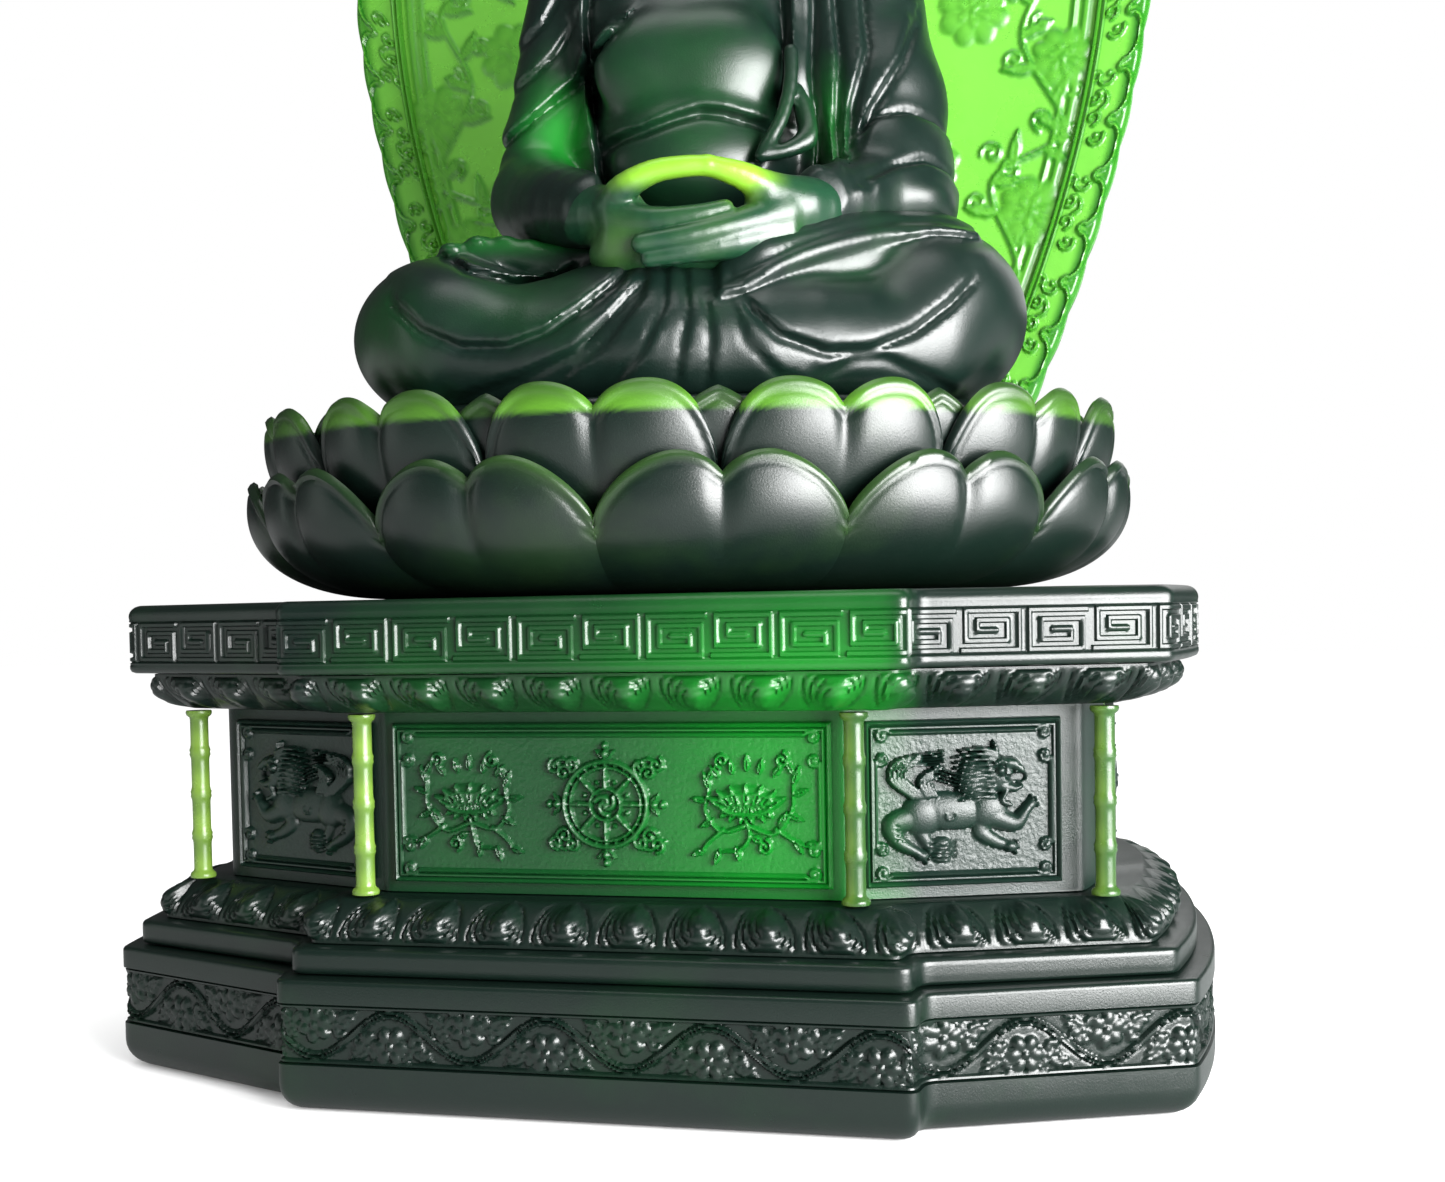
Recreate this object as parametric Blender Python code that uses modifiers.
"""Seated figure on a lotus throne, on a stepped pedestal, with a pointed screen standing behind it.

The statue is three loose castings. The pedestal is a stack of courses around a waist with corner columns.
The lotus and the figure are one unit that stands on a dowel and can be turned or lifted off.
The screen drops into a slot at the back of the pedestal's top slab.

Units in this file are millimetres until MM turns them into metres. +Z is up and the front faces -Y.
The origin is on the floor under the middle of the pedestal.
"""

import math
from collections import namedtuple

import bmesh
import bpy
from mathutils import Matrix, Vector

MM = 0.001
GAP = 0.3  # clearance between touching pieces

# One quarter of a course seen from above. The front block ends at (front_x, front_y), an ogee steps back
# to (inner_x, inner_y), and a slanted face runs to (outer_x, outer_y). The side bulges out to side_x.
Plan = namedtuple("Plan", "front_x front_y inner_x inner_y outer_x outer_y side_x")
BASE_PLAN = Plan(59.6, 79.2, 65.3, 71.4, 111.7, 52.1, 117.2)
STEP_PLAN = Plan(57.8, 75.0, 64.1, 66.8, 107.9, 49.8, 113.5)
SLAB_PLAN = Plan(58.8, 76.7, 64.5, 68.9, 107.5, 52.5, 114.5)
WAIST_PLAN = Plan(45.5, 58.0, 48.6, 56.8, 91.0, 40.6, 95.0)

# Heights of the courses, from the floor up
PLINTH_TOP = 26.3
STEP_TOP = 31.7
WAIST_BOTTOM = 40.5
WAIST_TOP = 76.9
SLAB_BOTTOM = 85.1
SLAB_TOP = 99.5
PLINTH_ROUNDING = 6.0
SLAB_ROUNDING = 2.2

# Corner columns, which stand free of the waist
COLUMN_RADIUS = 2.0
COLUMN_RING_RADIUS = 2.7
COLUMN_RING_HALF = 0.6
COLUMN_SIDES = 8
COLUMN_RINGS = (0.0, 0.25, 0.5, 0.75, 1.0)
COLUMN_FRONT = (49.4, 62.8)
COLUMN_OUTER = (94.9, 45.4)

PANEL_THICKNESS = 1.4
PANEL_MARGIN = 2.2
PANEL_CLEARANCE = 3.4  # from a column's axis to the end of the panel beside it

# Lotus throne, in its own axes: x is across the figure's knees, y towards its back.
# It stands a little to the right of the pedestal's middle.
LOTUS_CENTRE_X = 5.0
LOTUS_CENTRE_Y = -3.0
LOTUS_TURN_DEG = 14.0
LOTUS_DEPTH_RATIO = 0.717
LOTUS_PETALS = 12
PETAL_OFFSET_DEG = 3.0
LOTUS_BOTTOM = SLAB_TOP + GAP
SEAT_TOP = 138.0
DOWEL_RADIUS = 8.0
DOWEL_BOTTOM = 89.5
DOWEL_TOP = 112.0

# Figure
LAP_HALF = (75.4, 50.0, 25.0)
LAP_CENTRE_Z = 156.0
LAP_TOP = 172.8
TORSO_CENTRE_X = 4.0
WRIST = (24.5, -41.5, 180.5)
ARM_SPREAD = {-1: 0.78, 1: 1.32}  # the robe hangs fuller over the figure's left arm
HEAD_CENTRE = (TORSO_CENTRE_X, -2.0, 274.5)
HEAD_HALF = (14.6, 17.0, 19.5)
NECK_TOP = 257.0
HAIR_LINE = 284.0
FIGURE_TOP = 304.5
HANDS_CENTRE = (0.0, -45.5, 179.0)
HANDS_HALF = (19.0, 10.5, 5.6)

# Screen
SCREEN_CENTRE_X = 2.5
SCREEN_FRONT_Y = 69.2
SCREEN_THICKNESS = 6.3
FIELD_THICKNESS = 4.0
BORDER_WIDTH = 14.0
SCREEN_FOOT_HALF = 52.5
SCREEN_HALF = 108.5
SCREEN_WIDEST_Z = 283.0
SCREEN_TOP = 366.0
TENON = (76.0, 3.2, 9.4)
SLOT_BOTTOM = 89.0


def clear_scene():
    for item in list(bpy.data.objects):
        bpy.data.objects.remove(item, do_unlink=True)


def new_collection(name):
    collection = bpy.data.collections.new(name)
    bpy.context.scene.collection.children.link(collection)
    return collection


def glass(name, colour, roughness):
    """A cast-glass finish of its own for one part."""
    material = bpy.data.materials.new(name)
    material.use_nodes = True
    shader = material.node_tree.nodes["Principled BSDF"]
    shader.inputs["Base Color"].default_value = (*colour, 1.0)
    shader.inputs["Roughness"].default_value = roughness
    shader.inputs["Metallic"].default_value = 0.0
    return material


DARK = ((0.010, 0.035, 0.022), 0.38)
DEEP = ((0.012, 0.060, 0.025), 0.34)
LIME = ((0.150, 0.520, 0.030), 0.30)
HAIR = ((0.008, 0.025, 0.018), 0.50)


def finish(item, name, look, collection, parent=None):
    """Names the object, gives it its own material and puts it under its parent."""
    item.name = name
    item.data.name = name
    item.data.materials.clear()
    item.data.materials.append(glass(name + "_glass", *look))
    for old in list(item.users_collection):
        old.objects.unlink(item)
    collection.objects.link(item)
    item.parent = parent
    return item


def smooth(item, angle_deg=35.0):
    item.data.shade_smooth()
    item.data.set_sharp_from_angle(angle=math.radians(angle_deg))


def object_from(bm, name):
    """A mesh object from a bmesh in millimetres."""
    bmesh.ops.scale(bm, vec=(MM, MM, MM), verts=bm.verts)
    bmesh.ops.recalc_face_normals(bm, faces=bm.faces)
    mesh = bpy.data.meshes.new(name)
    bm.to_mesh(mesh)
    bm.free()
    item = bpy.data.objects.new(name, mesh)
    bpy.context.scene.collection.objects.link(item)
    smooth(item)
    return item


def loft(rings, name):
    """A closed solid through rings that have the same number of points, with a flat cap at each end."""
    bm = bmesh.new()
    layers = [[bm.verts.new(point) for point in ring] for ring in rings]
    count = len(rings[0])
    for lower, upper in zip(layers, layers[1:]):
        for i in range(count):
            j = (i + 1) % count
            bm.faces.new((lower[i], lower[j], upper[j], upper[i]))
    bm.faces.new(list(reversed(layers[0])))
    bm.faces.new(layers[-1])
    bmesh.ops.triangulate(bm, faces=[f for f in bm.faces if len(f.verts) > 4])
    return object_from(bm, name)


def sleeve(rings, name):
    """A closed ring-shaped solid: the rings run up the outside and down the inside, back to the first."""
    bm = bmesh.new()
    layers = [[bm.verts.new(point) for point in ring] for ring in rings]
    count = len(rings[0])
    for k, lower in enumerate(layers):
        upper = layers[(k + 1) % len(layers)]
        for i in range(count):
            j = (i + 1) % count
            bm.faces.new((lower[i], lower[j], upper[j], upper[i]))
    return object_from(bm, name)


def flat_outline(splines, low, high, name):
    """A prism: closed outlines as a filled 2D curve, extruded between two heights."""
    curve = bpy.data.curves.new(name, "CURVE")
    curve.dimensions = "2D"
    curve.fill_mode = "BOTH"
    curve.extrude = (high - low) / 2 * MM
    for points in splines:
        spline = curve.splines.new("POLY")
        spline.points.add(len(points) - 1)
        for target, point in zip(spline.points, points):
            target.co = (point[0] * MM, point[1] * MM, 0.0, 1.0)
        spline.use_cyclic_u = True
    item = bpy.data.objects.new(name, curve)
    bpy.context.scene.collection.objects.link(item)
    item.location.z = (low + high) / 2 * MM
    return item


def bezier(a, b, c, d, steps):
    """Points along a cubic curve, without its first point."""
    points = []
    for i in range(1, steps + 1):
        t = i / steps
        s = 1 - t
        weights = (s * s * s, 3 * s * s * t, 3 * s * t * t, t * t * t)
        points.append(tuple(sum(w * p[k] for w, p in zip(weights, (a, b, c, d))) for k in range(2)))
    return points


def quarter(plan):
    """The outline of the front right quarter, from the middle of the front to the middle of the side."""
    front = (plan.front_x, -plan.front_y)
    inner = (plan.inner_x, -plan.inner_y)
    outer = (plan.outer_x, -plan.outer_y)
    slant = Vector((outer[0] - inner[0], outer[1] - inner[1])).normalized()
    reach = (plan.inner_x - plan.front_x) * 0.9
    points = [front]
    points += bezier(
        front,
        (front[0] + reach, front[1]),
        (inner[0] - reach * slant.x, inner[1] - reach * slant.y),
        inner,
        5,
    )
    corner = 4.0
    before = (outer[0] - corner * slant.x, outer[1] - corner * slant.y)
    after = (outer[0] + 0.8, outer[1] + corner)
    points.append(before)
    points += bezier(before, outer, outer, after, 3)
    side = (plan.side_x, 0.0)
    points += bezier(after, (after[0] + 3.0, after[1] + 14.0), (side[0], side[1] - 20.0), side, 3)
    return points


def outline(plan):
    """The whole outline, counter-clockwise, from its front right quarter."""
    front_right = quarter(plan)
    back_right = [(x, -y) for x, y in reversed(front_right[:-1])]
    right = front_right + back_right
    left = [(-x, y) for x, y in reversed(right)]
    return right + left


def inset(points, distance):
    """The outline moved inwards by a distance along its corners."""
    moved = []
    count = len(points)
    for i, point in enumerate(points):
        before = Vector(point) - Vector(points[i - 1])
        after = Vector(points[(i + 1) % count]) - Vector(point)
        first = Vector((-before.y, before.x)).normalized()
        second = Vector((-after.y, after.x)).normalized()
        normal = (first + second).normalized()
        moved.append(tuple(Vector(point) + normal * distance / max(0.5, normal.dot(first))))
    return moved


def at_height(points, z):
    return [(x, y, z) for x, y in points]


def mesh_from_curve(item):
    """Turns a curve object into a mesh object with welded caps."""
    bpy.context.view_layer.update()
    evaluated = item.evaluated_get(bpy.context.evaluated_depsgraph_get())
    mesh = bpy.data.meshes.new_from_object(evaluated)
    bm = bmesh.new()
    bm.from_mesh(mesh)
    bmesh.ops.remove_doubles(bm, verts=bm.verts, dist=0.00001)
    bm.to_mesh(mesh)
    bm.free()
    solid = bpy.data.objects.new(item.name, mesh)
    bpy.context.scene.collection.objects.link(solid)
    solid.matrix_world = item.matrix_world
    bpy.data.objects.remove(item, do_unlink=True)
    return solid


def cutter(item, name, cutters, parent=None):
    """Marks an object as a tool for Booleans, which is no part of the statue."""
    item.name = name
    item.hide_render = True
    item.display_type = "WIRE"
    for old in list(item.users_collection):
        old.objects.unlink(item)
    cutters.objects.link(item)
    item.parent = parent
    return item


def cut(item, tool):
    modifier = item.modifiers.new("cut_" + tool.name, "BOOLEAN")
    modifier.operation = "DIFFERENCE"
    modifier.solver = "EXACT"
    modifier.object = tool


def box(low, high):
    bpy.ops.mesh.primitive_cube_add(size=1.0)
    item = bpy.context.active_object
    size = [(b - a) * MM for a, b in zip(low, high)]
    middle = [(a + b) / 2 * MM for a, b in zip(low, high)]
    item.data.transform(Matrix.Translation(middle) @ Matrix.Diagonal((*size, 1.0)))
    return item


def cylinder(radius, low, high, sides):
    bpy.ops.mesh.primitive_cylinder_add(radius=radius * MM, depth=(high - low) * MM, vertices=sides)
    item = bpy.context.active_object
    item.data.transform(Matrix.Translation((0.0, 0.0, (low + high) / 2 * MM)))
    smooth(item)
    return item


def ellipsoid(centre, half, low, high, segments=20, rings=12):
    """A ball stretched to its half sizes and cut flat below low and above high."""
    bm = bmesh.new()
    bmesh.ops.create_uvsphere(bm, u_segments=segments, v_segments=rings, radius=1.0)
    bmesh.ops.scale(bm, vec=half, verts=bm.verts)
    bmesh.ops.translate(bm, vec=centre, verts=bm.verts)
    for z, normal in ((low, (0, 0, -1)), (high, (0, 0, 1))):
        if not centre[2] - half[2] < z < centre[2] + half[2]:
            continue
        everything = bm.verts[:] + bm.edges[:] + bm.faces[:]
        cut_edges = bmesh.ops.bisect_plane(
            bm, geom=everything, dist=0.001, plane_co=(0, 0, z), plane_no=normal, clear_outer=True
        )["geom_cut"]
        bmesh.ops.holes_fill(bm, edges=[e for e in cut_edges if isinstance(e, bmesh.types.BMEdge)], sides=0)
    bmesh.ops.triangulate(bm, faces=[f for f in bm.faces if len(f.verts) > 4])
    return object_from(bm, "ellipsoid")


def turned(profile, sides, name):
    """A turned solid: the profile is (radius, height) from top to bottom, and both ends are on the axis."""
    mesh = bpy.data.meshes.new(name)
    points = [(radius * MM, 0.0, height * MM) for radius, height in profile]
    mesh.from_pydata(points, [(i, i + 1) for i in range(len(points) - 1)], [])
    item = bpy.data.objects.new(name, mesh)
    bpy.context.scene.collection.objects.link(item)
    screw = item.modifiers.new("turn", "SCREW")
    screw.steps = sides
    screw.render_steps = sides
    screw.use_merge_vertices = True
    screw.merge_threshold = 0.00001
    screw.use_smooth_shade = True
    return item


def pedestal_courses(parts):
    """The plain stacked courses: plinth, step, petal courses and the waist between them."""
    base = outline(BASE_PLAN)
    plinth = loft(
        [
            at_height(inset(base, PLINTH_ROUNDING), 0.0),
            at_height(inset(base, PLINTH_ROUNDING * 0.3), PLINTH_ROUNDING * 0.3),
            at_height(base, PLINTH_ROUNDING),
            at_height(base, PLINTH_TOP),
        ],
        "base_plinth",
    )
    finish(plinth, "base_plinth", DARK, parts)
    step = flat_outline([outline(STEP_PLAN)], PLINTH_TOP + GAP, STEP_TOP, "base_step")
    finish(step, "base_step", DARK, parts)

    step_outline = outline(STEP_PLAN)
    lower = loft(
        [
            at_height(inset(step_outline, 2.5), STEP_TOP + GAP),
            at_height(inset(step_outline, 3.0), STEP_TOP + 3.5),
            at_height(inset(step_outline, 8.5), WAIST_BOTTOM - GAP),
        ],
        "lower_petal_course",
    )
    finish(lower, "lower_petal_course", DARK, parts)
    waist = flat_outline([outline(WAIST_PLAN)], WAIST_BOTTOM, WAIST_TOP, "waist_core")
    finish(waist, "waist_core", DEEP, parts)
    slab_outline = outline(SLAB_PLAN)
    upper = loft(
        [
            at_height(inset(slab_outline, 9.0), WAIST_TOP + GAP),
            at_height(inset(slab_outline, 4.5), WAIST_TOP + 4.0),
            at_height(inset(slab_outline, 2.5), SLAB_BOTTOM - GAP),
        ],
        "upper_petal_course",
    )
    finish(upper, "upper_petal_course", DARK, parts)


def top_slab(parts, cutters):
    """The fretted slab, with a socket for the dowel and a slot for the screen's tenon."""
    edge = outline(SLAB_PLAN)
    slab = loft(
        [
            at_height(inset(edge, 1.0), SLAB_BOTTOM),
            at_height(edge, SLAB_BOTTOM + 1.0),
            at_height(edge, SLAB_TOP - SLAB_ROUNDING),
            at_height(inset(edge, SLAB_ROUNDING * 0.3), SLAB_TOP - SLAB_ROUNDING * 0.3),
            at_height(inset(edge, SLAB_ROUNDING), SLAB_TOP),
        ],
        "top_slab",
    )
    finish(slab, "top_slab", DARK, parts)
    socket = cylinder(DOWEL_RADIUS + GAP, DOWEL_BOTTOM - GAP, SLAB_TOP + 5.0, 32)
    socket.location = (LOTUS_CENTRE_X * MM, LOTUS_CENTRE_Y * MM, 0.0)
    cut(slab, cutter(socket, "dowel_socket", cutters))
    middle = SCREEN_FRONT_Y + SCREEN_THICKNESS / 2
    half_x = TENON[0] / 2 + GAP
    half_y = TENON[1] / 2 + GAP
    low = (SCREEN_CENTRE_X - half_x, middle - half_y, SLOT_BOTTOM)
    slot = box(low, (SCREEN_CENTRE_X + half_x, middle + half_y, SLAB_TOP + 5.0))
    cut(slab, cutter(slot, "screen_slot", cutters))


def column_profile():
    """A bamboo-like column: a plain shaft with a narrow ring at each fifth of its height."""
    low = WAIST_BOTTOM + GAP / 2
    high = WAIST_TOP - GAP / 2
    points = []
    for share in reversed(COLUMN_RINGS):
        middle = low + COLUMN_RING_HALF + share * (high - low - 2 * COLUMN_RING_HALF)
        if share < 1.0:
            points.append((COLUMN_RADIUS, middle + COLUMN_RING_HALF))
        points.append((COLUMN_RING_RADIUS, middle + COLUMN_RING_HALF))
        points.append((COLUMN_RING_RADIUS, middle - COLUMN_RING_HALF))
        if share > 0.0:
            points.append((COLUMN_RADIUS, middle - COLUMN_RING_HALF))
    return [(0.0, high)] + points + [(0.0, low)]


def columns(parts):
    for end, sign_y in (("front", -1), ("back", 1)):
        for side, sign_x in (("left", -1), ("right", 1)):
            for place, (x, y) in (("inner", COLUMN_FRONT), ("outer", COLUMN_OUTER)):
                name = f"column_{end}_{place}_{side}"
                column = turned(column_profile(), COLUMN_SIDES, name)
                column.location = (sign_x * x * MM, sign_y * y * MM, 0.0)
                finish(column, name, LIME, parts)


def panel(name, start, end, parts):
    """A flat relief panel that stands against the waist between two points of its outline."""
    a = Vector(start)
    b = Vector(end)
    along = (b - a).normalized()
    outward = Vector((along.y, -along.x))
    a = a + outward * GAP
    b = b + outward * GAP
    low = WAIST_BOTTOM + PANEL_MARGIN
    high = WAIST_TOP - PANEL_MARGIN
    item = box((0.0, -PANEL_THICKNESS, low), ((b - a).length, 0.0, high))
    item.location = (a.x * MM, a.y * MM, 0.0)
    item.rotation_euler = (0.0, 0.0, math.atan2(along.y, along.x))
    finish(item, name, DEEP, parts)


def panels(parts):
    """Panels on the front and back, on the four slanted faces and on the two sides."""
    plan = WAIST_PLAN
    slant = Vector((plan.outer_x - plan.inner_x, plan.inner_y - plan.outer_y)).normalized()
    near = Vector((plan.inner_x, -plan.inner_y)) + slant * 1.5
    far = Vector((plan.outer_x, -plan.outer_y)) - slant * 5.0
    front_x = plan.front_x - 1.0
    side_half = 26.0
    panel("panel_front", (-front_x, -plan.front_y), (front_x, -plan.front_y), parts)
    panel("panel_back", (front_x, plan.front_y), (-front_x, plan.front_y), parts)
    panel("panel_slant_front_right", tuple(near), tuple(far), parts)
    panel("panel_slant_front_left", (-far.x, far.y), (-near.x, near.y), parts)
    panel("panel_slant_back_right", (far.x, -far.y), (near.x, -near.y), parts)
    panel("panel_slant_back_left", (-near.x, -near.y), (-far.x, -far.y), parts)
    panel("panel_side_right", (plan.side_x, -side_half), (plan.side_x, side_half), parts)
    panel("panel_side_left", (-plan.side_x, side_half), (-plan.side_x, -side_half), parts)


def ellipse(radius, z, count=72):
    """A level ring of the lotus's own proportions."""
    steps = [2 * math.pi * i / count for i in range(count)]
    return [(radius * math.cos(a), radius * LOTUS_DEPTH_RATIO * math.sin(a), z) for a in steps]


def petal_ring(profile, valley_depth, stagger, name):
    """A ring of petals: the profile is (radius, height, rim share), and the rim dips between petals."""
    count = LOTUS_PETALS * 6
    rings = []
    for radius, height, share in profile:
        ring = []
        for i in range(count):
            angle = 2 * math.pi * i / count + math.radians(PETAL_OFFSET_DEG)
            phase = (LOTUS_PETALS * i / count + stagger) % 1.0
            from_middle = abs(phase - 0.5) * 2
            dip = share * valley_depth * from_middle**3
            inward = share * 1.6 * from_middle**3
            r = radius - inward
            ring.append((r * math.cos(angle), r * LOTUS_DEPTH_RATIO * math.sin(angle), height - dip))
        rings.append(ring)
    return sleeve(rings, name)


def lotus(parts, cutters, axis):
    core = loft(
        [
            ellipse(60.0, LOTUS_BOTTOM, 48),
            ellipse(74.0, 112.0, 48),
            ellipse(79.6, 120.0, 48),
            ellipse(79.6, 133.7, 48),
        ],
        "lotus_core",
    )
    finish(core, "lotus_core", DARK, parts, axis)
    socket = cylinder(DOWEL_RADIUS + GAP, LOTUS_BOTTOM - 5.0, DOWEL_TOP + GAP, 32)
    cut(core, cutter(socket, "lotus_socket", cutters, axis))
    seat = loft(
        [
            ellipse(78.6, 134.0, 48),
            ellipse(79.6, 135.0, 48),
            ellipse(79.6, SEAT_TOP - 1.0, 48),
            ellipse(78.0, SEAT_TOP, 48),
        ],
        "lotus_seat",
    )
    finish(seat, "lotus_seat", DARK, parts, axis)
    lower = petal_ring(
        [
            (62.0, LOTUS_BOTTOM, 0.0),
            (82.0, 103.5, 0.0),
            (94.0, 112.0, 0.3),
            (96.6, 121.0, 0.8),
            (95.6, 127.0, 1.0),
            (92.8, 126.6, 1.0),
            (88.0, 116.0, 0.3),
            (81.0, 111.5, 0.0),
            (75.2, 111.5, 0.0),
        ],
        11.0,
        0.5,
        "lotus_lower_petals",
    )
    finish(lower, "lotus_lower_petals", DARK, parts, axis)
    upper = petal_ring(
        [
            (81.0, 112.4, 0.0),
            (85.6, 117.0, 0.0),
            (90.0, 128.0, 0.2),
            (92.4, 136.0, 0.8),
            (91.6, 141.0, 1.0),
            (88.9, 140.6, 1.0),
            (84.5, 130.0, 0.3),
            (80.2, 122.0, 0.0),
        ],
        11.0,
        0.0,
        "lotus_upper_petals",
    )
    finish(upper, "lotus_upper_petals", DARK, parts, axis)


def oval(half_x, half_y, centre_y, z, count=24):
    steps = [2 * math.pi * i / count for i in range(count)]
    return [(half_x * math.cos(a), centre_y + half_y * math.sin(a), z) for a in steps]


def arm(side, name):
    """A sleeved arm from the shoulder over the elbow to the wrist, as a tapering tube."""
    path = (
        ((34.8, 1.5, 245.6), 2.2),
        ((37.6, 1.0, 240.0), 5.6),
        ((42.6, 1.0, 222.0), 7.4),
        ((43.4, 0.0, 203.0), 8.2),
        ((43.0, -6.0, 188.0), 8.3),
        ((37.5, -22.0, 182.6), 8.4),
        (WRIST, 6.0),
    )
    curve = bpy.data.curves.new(name, "CURVE")
    curve.dimensions = "3D"
    curve.bevel_depth = MM
    curve.bevel_resolution = 3
    curve.use_fill_caps = True
    spline = curve.splines.new("POLY")
    spline.points.add(len(path) - 1)
    for target, (point, radius) in zip(spline.points, path):
        reach = WRIST[0] + ARM_SPREAD[side] * (point[0] - WRIST[0])
        target.co = (side * reach * MM, point[1] * MM, point[2] * MM, 1.0)
        target.radius = radius
    item = bpy.data.objects.new(name, curve)
    bpy.context.scene.collection.objects.link(item)
    return item


def hair_profile():
    return (
        (0.0, FIGURE_TOP),
        (4.4, FIGURE_TOP - 0.8),
        (7.4, 301.0),
        (8.4, 298.0),
        (12.8, 294.4),
        (15.4, 289.0),
        (15.6, HAIR_LINE + GAP),
        (0.0, HAIR_LINE + GAP),
    )


def figure(parts, axis):
    lap = ellipsoid((0.0, -4.0, LAP_CENTRE_Z), LAP_HALF, SEAT_TOP + GAP, LAP_TOP, 28, 14)
    finish(lap, "robe_lap", DARK, parts, axis)
    torso = loft(
        [
            oval(33.5, 25.5, 4.0, LAP_TOP + GAP),
            oval(33.0, 25.0, 3.0, 190.0),
            oval(31.5, 23.0, 2.0, 206.0),
            oval(33.5, 22.0, 2.0, 224.0),
            oval(30.0, 18.0, 3.0, 238.0),
            oval(16.0, 12.0, 3.0, 246.0),
            oval(9.6, 9.6, 1.0, 250.0),
            oval(9.0, 9.4, 0.0, NECK_TOP),
        ],
        "torso",
    )
    torso.location.x = TORSO_CENTRE_X * MM
    finish(torso, "torso", DARK, parts, axis)
    finish(arm(-1, "arm_right"), "arm_right", DARK, parts, axis)
    finish(arm(1, "arm_left"), "arm_left", DARK, parts, axis)
    hands = ellipsoid(HANDS_CENTRE, HANDS_HALF, 0.0, FIGURE_TOP, 16, 10)
    finish(hands, "hands", DEEP, parts, axis)
    head = ellipsoid(HEAD_CENTRE, HEAD_HALF, NECK_TOP + GAP, HAIR_LINE, 20, 14)
    finish(head, "head", DARK, parts, axis)
    hair = turned(hair_profile(), 24, "hair")
    hair.location = (HEAD_CENTRE[0] * MM, HEAD_CENTRE[1] * MM, 0.0)
    finish(hair, "hair", HAIR, parts, axis)


def screen_outline():
    """The pointed outline, counter-clockwise from its right foot, as (x, height)."""
    foot = (SCREEN_FOOT_HALF, SLAB_TOP + GAP)
    widest = (SCREEN_HALF, SCREEN_WIDEST_Z)
    tip = (0.0, SCREEN_TOP)
    right = [foot]
    right += bezier(foot, (80.0, 150.0), (108.0, 215.0), widest, 12)
    right += bezier(widest, (SCREEN_HALF, 325.0), (50.0, 343.0), tip, 12)
    left = [(-x, z) for x, z in reversed(right[:-1])]
    return right + left


def screen(parts, axis):
    """The screen lies flat as an outline and is stood up by its parent empty."""
    outer = screen_outline()
    inner = inset(outer, BORDER_WIDTH)
    hole = inset(outer, BORDER_WIDTH - GAP)
    half = SCREEN_THICKNESS / 2
    border = flat_outline([outer, list(reversed(hole))], -half, half, "screen_border")
    finish(border, "screen_border", LIME, parts, axis)
    field = flat_outline([inner], -FIELD_THICKNESS / 2, FIELD_THICKNESS / 2, "screen_field")
    finish(field, "screen_field", LIME, parts, axis)
    width, thickness, height = TENON
    tenon = box((-width / 2, SLAB_TOP - height, -thickness / 2), (width / 2, SLAB_TOP, thickness / 2))
    finish(tenon, "screen_tenon", LIME, parts, axis)


def empty(name, location, rotation, collection):
    item = bpy.data.objects.new(name, None)
    item.location = location
    item.rotation_euler = rotation
    collection.objects.link(item)
    return item


def main():
    clear_scene()
    parts = new_collection("lotus_throne_statue")
    cutters = new_collection("cutters")
    pedestal_courses(parts)
    top_slab(parts, cutters)
    columns(parts)
    panels(parts)
    turn = (0.0, 0.0, math.radians(LOTUS_TURN_DEG))
    lotus_axis = empty("lotus_axis", (LOTUS_CENTRE_X * MM, LOTUS_CENTRE_Y * MM, 0.0), turn, parts)
    dowel = cylinder(DOWEL_RADIUS, DOWEL_BOTTOM, DOWEL_TOP, 32)
    finish(dowel, "locating_dowel", HAIR, parts, lotus_axis)
    lotus(parts, cutters, lotus_axis)
    figure(parts, lotus_axis)
    middle = (SCREEN_FRONT_Y + SCREEN_THICKNESS / 2) * MM
    screen_axis = empty("screen_axis", (SCREEN_CENTRE_X * MM, middle, 0.0), (math.pi / 2, 0.0, 0.0), parts)
    screen(parts, screen_axis)


main()
